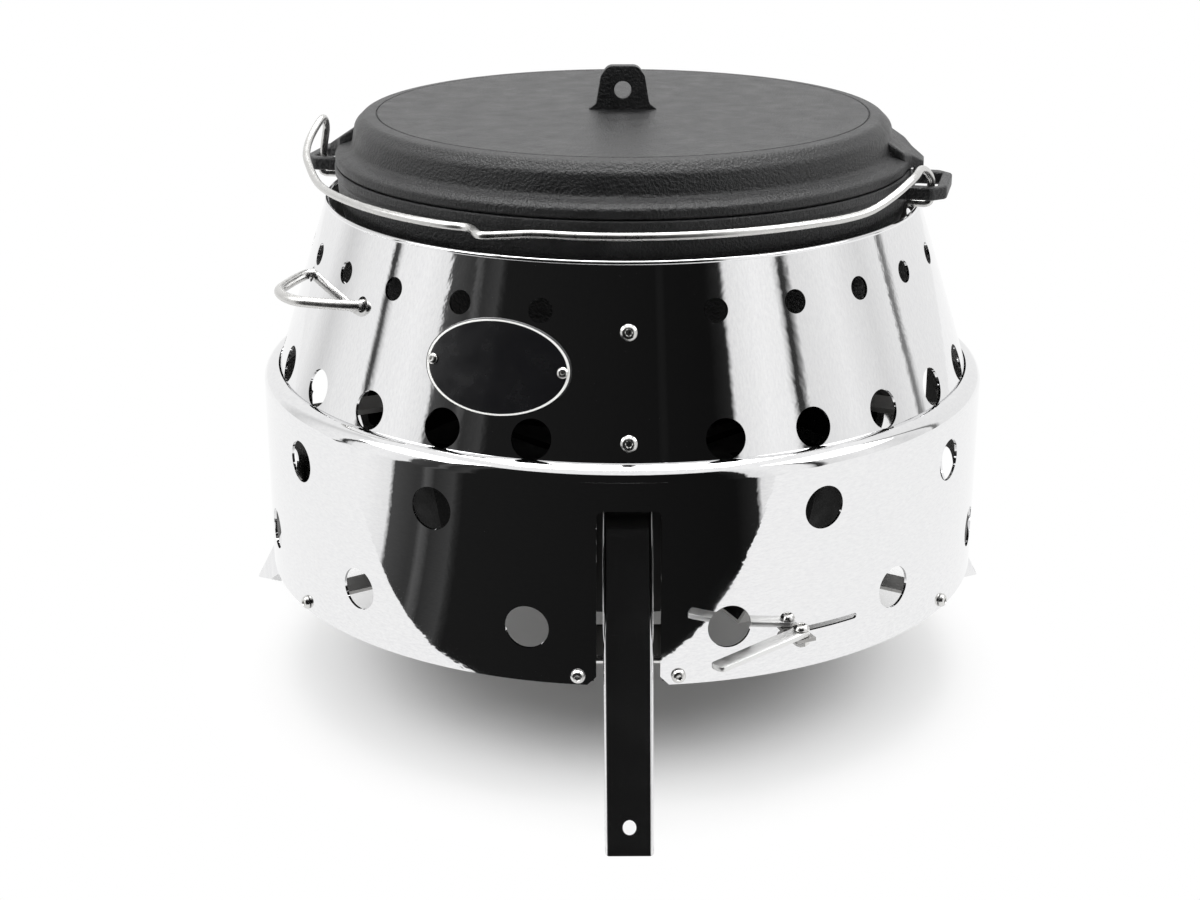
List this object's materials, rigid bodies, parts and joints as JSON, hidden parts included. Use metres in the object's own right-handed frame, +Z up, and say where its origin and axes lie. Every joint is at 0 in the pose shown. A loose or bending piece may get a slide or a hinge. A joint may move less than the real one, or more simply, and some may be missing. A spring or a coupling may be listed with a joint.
{
  "type": "dutch oven with stove",
  "caption": "Lidded cast-iron dutch oven with a wire bail, seated in a perforated sheet-steel cone stove with fold-in channel legs, an air shutter and a fire bowl",
  "frame": {"origin": "centre of the bounding box on the floor, under the feet", "axes": "+Z is up, -Y is the front with the front leg and the cone seam, +X is to the right seen from the front"},
  "size_m": [0.518, 0.508, 0.3814],
  "materials": {
    "cast_iron": "seasoned, matt with a fine sand-cast grain",
    "polished_sheet": "mirror-polished stainless sheet",
    "satin_steel": "satin stainless steel",
    "blackened_steel": "matt heat-blackened sheet steel",
    "plate_enamel": "smooth black enamel with a thin white border"
  },
  "bodies": {
    "stove": {"stove_ring": "polished_sheet", "stove_cone": "polished_sheet", "seam_screw_1": "satin_steel", "seam_nut_1": "satin_steel", "seam_screw_2": "satin_steel", "seam_nut_2": "satin_steel", "ring_screw_1": "satin_steel", "ring_screw_2": "satin_steel", "ring_screw_3": "satin_steel", "ring_screw_4": "satin_steel", "ring_screw_5": "satin_steel", "ring_screw_6": "satin_steel", "ring_screw_7": "satin_steel", "ring_screw_8": "satin_steel", "ring_screw_9": "satin_steel", "leg_bracket_front": "satin_steel", "leg_pin_front": "satin_steel", "leg_bracket_right": "satin_steel", "leg_pin_right": "satin_steel", "leg_bracket_left": "satin_steel", "leg_pin_left": "satin_steel", "fire_bowl": "blackened_steel", "bowl_support_1": "satin_steel", "bowl_support_2": "satin_steel", "bowl_support_3": "satin_steel", "shutter_pin": "satin_steel", "name_plate": "plate_enamel", "plate_rivet_1": "satin_steel", "plate_rivet_2": "satin_steel", "pot_rest_1": "satin_steel", "pot_rest_2": "satin_steel", "pot_rest_3": "satin_steel"},
    "leg_front": {"leg_front": "polished_sheet"},
    "leg_right": {"leg_right": "polished_sheet"},
    "leg_left": {"leg_left": "polished_sheet"},
    "shutter": {"air_shutter": "satin_steel", "lever_screw": "satin_steel", "lever_nut": "satin_steel"},
    "lever": {"air_lever": "polished_sheet"},
    "handle": {"side_handle": "satin_steel"},
    "grate": {"charcoal_grate": "blackened_steel"},
    "pot": {"pot": "cast_iron"},
    "lid": {"lid": "cast_iron"},
    "bail": {"bail": "satin_steel"}
  },
  "joints": [
    {"name": "leg_front_fold", "type": "hinge", "parent": "stove", "child": "leg_front", "pos_m": [0, -0.19005, 0.087], "axis": [1, 0, 0], "range_deg": [0, 29]},
    {"name": "leg_right_fold", "type": "hinge", "parent": "stove", "child": "leg_right", "pos_m": [0.19544, 0.11792, 0.087], "axis": [-0.4258, 0.9048, 0], "range_deg": [0, 29]},
    {"name": "leg_left_fold", "type": "hinge", "parent": "stove", "child": "leg_left", "pos_m": [-0.19544, 0.11792, 0.087], "axis": [-0.4258, -0.9048, 0], "range_deg": [0, 29]},
    {"name": "shutter_turn", "type": "hinge", "parent": "stove", "child": "shutter", "pos_m": [0, 0.02595, 0.084], "axis": [0, 0, 1], "range_deg": [0, 9]},
    {"name": "lever_swing", "type": "hinge", "parent": "shutter", "child": "lever", "pos_m": [0.09625, -0.18624, 0.101], "axis": [0, 0, 1], "range_deg": [-8, 144]},
    {"name": "handle_swing", "type": "hinge", "parent": "stove", "child": "handle", "pos_m": [-0.16765, -0.06349, 0.2656], "axis": [0.4707, -0.8823, 0], "range_deg": [-8, 12]},
    {"name": "grate_lift", "type": "slide", "parent": "stove", "child": "grate", "axis": [0, 0, 1], "range_m": [0, 0.06]},
    {"name": "pot_lift", "type": "slide", "parent": "stove", "child": "pot", "axis": [0, 0, 1], "range_m": [0, 0.25]},
    {"name": "lid_lift", "type": "slide", "parent": "pot", "child": "lid", "axis": [0, 0, 1], "range_m": [0, 0.12]},
    {"name": "bail_swing", "type": "hinge", "parent": "pot", "child": "bail", "pos_m": [-0.00575, 0.00291, 0.317], "axis": [-0.9703, 0.2419, 0], "range_deg": [0, 122]}
  ]
}
